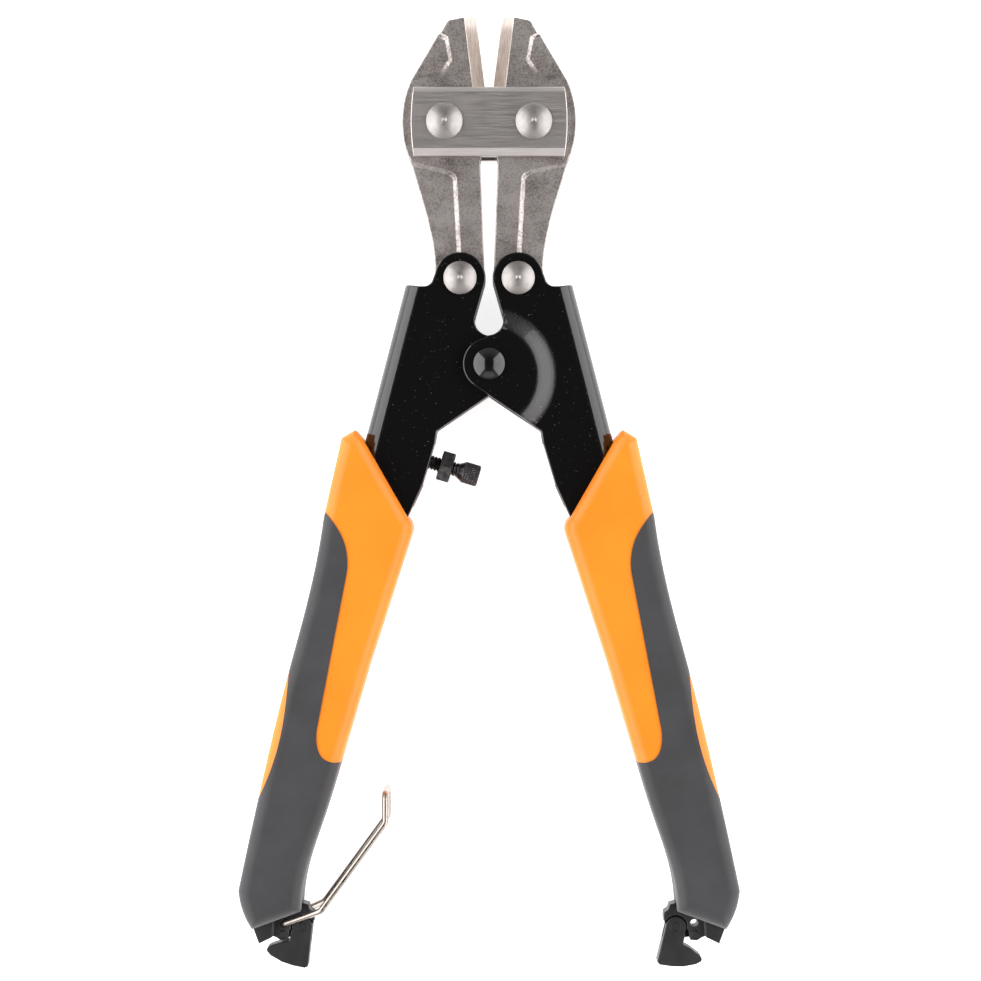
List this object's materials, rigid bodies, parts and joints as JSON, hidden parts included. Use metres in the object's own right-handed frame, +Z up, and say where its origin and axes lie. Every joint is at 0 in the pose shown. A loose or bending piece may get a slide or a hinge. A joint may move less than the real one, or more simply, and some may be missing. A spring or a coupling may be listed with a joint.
{
  "type": "bolt cutters",
  "caption": "Small two-handed bolt cutters with forged jaws, a riveted strap, pressed handles, moulded grips, a stop screw and a wire bail that latches the handle ends.",
  "frame": {"origin": "on the surface that the tool lies on, below the middle of its overall box at rest", "axes": "+Y towards the jaws, +X to the right seen from above, +Z up through the thickness of the tool"},
  "size_m": [0.1074, 0.2052, 0.019],
  "materials": {
    "forged_steel": "forged, tumbled",
    "brushed_steel": "brushed",
    "bright_steel": "polished",
    "black_paint": "gloss",
    "black_oxide": "satin",
    "orange_plastic": "moulded satin",
    "dark_rubber": "moulded matt",
    "black_plastic": "moulded",
    "wire_steel": "drawn bright wire"
  },
  "bodies": {
    "strap": {"strap_front": "brushed_steel", "strap_rear": "brushed_steel", "jaw_rivet_left": "bright_steel", "jaw_rivet_right": "bright_steel"},
    "jaw_left": {"jaw_left": "forged_steel"},
    "jaw_right": {"jaw_right": "forged_steel"},
    "handle_left": {"handle_left": "black_paint", "link_rivet_left": "bright_steel", "pivot_rivet": "black_paint", "pivot_spacer": "black_oxide", "grip_core_left": "orange_plastic", "grip_rubber_left": "dark_rubber", "end_cap_left": "black_plastic", "cap_pin_left": "black_plastic"},
    "handle_right": {"handle_right": "black_paint", "link_rivet_right": "bright_steel", "grip_core_right": "orange_plastic", "grip_rubber_right": "dark_rubber", "end_cap_right": "black_plastic", "cap_pin_right": "black_plastic"},
    "stop_screw": {"stop_screw": "black_oxide"},
    "lock_nut": {"lock_nut": "black_oxide"},
    "hook_lever_left": {"hook_lever_left": "black_plastic", "lever_pin_left": "black_plastic"},
    "hook_lever_right": {"hook_lever_right": "black_plastic", "lever_pin_right": "black_plastic"},
    "wire_bail": {"wire_bail": "wire_steel"}
  },
  "joints": [
    {"name": "jaw_left_pivot", "type": "hinge", "parent": "strap", "child": "jaw_left", "pos_m": [-0.00959, 0.07949, 0.0095], "axis": [0, 0, 1], "range_deg": [-7, 1]},
    {"name": "jaw_right_pivot", "type": "hinge", "parent": "strap", "child": "jaw_right", "pos_m": [0.00959, 0.07949, 0.0095], "axis": [0, 0, 1], "range_deg": [-1, 7]},
    {"name": "link_left_pivot", "type": "hinge", "parent": "jaw_left", "child": "handle_left", "pos_m": [-0.00624, 0.04599, 0.0095], "axis": [0, 0, 1], "range_deg": [-2.91, 20.23]},
    {"name": "link_right_pivot", "type": "hinge", "parent": "jaw_right", "child": "handle_right", "pos_m": [0.00624, 0.04599, 0.0095], "axis": [0, 0, 1], "range_deg": [-20.23, 2.91]},
    {"name": "stop_screw_travel", "type": "slide", "parent": "handle_left", "child": "stop_screw", "axis": [0.9583, -0.2857, 0], "range_m": [-0.001, 0.0025]},
    {"name": "lock_nut_turn", "type": "hinge", "parent": "stop_screw", "child": "lock_nut", "pos_m": [-0.01275, 0.00646, 0.0095], "axis": [0.9583, -0.2857, 0], "continuous": true},
    {"name": "hook_lever_left_pivot", "type": "hinge", "parent": "handle_left", "child": "hook_lever_left", "pos_m": [-0.0403, -0.09374, 0.0095], "axis": [0, 0, 1], "range_deg": [0, 19.5]},
    {"name": "hook_lever_right_pivot", "type": "hinge", "parent": "handle_right", "child": "hook_lever_right", "pos_m": [0.0403, -0.09374, 0.0095], "axis": [0, 0, 1], "range_deg": [0, 19.5]},
    {"name": "bail_swing", "type": "hinge", "parent": "handle_left", "child": "wire_bail", "pos_m": [-0.0442, -0.09294, 0.0095], "axis": [0, 0, 1], "range_deg": [-120, 4]}
  ],
  "couplings": [
    {"joint": "jaw_right_pivot", "follows": "jaw_left_pivot", "ratio": -1},
    {"joint": "link_left_pivot", "follows": "jaw_left_pivot", "ratio": -2.887},
    {"joint": "link_right_pivot", "follows": "jaw_left_pivot", "ratio": 2.887}
  ]
}
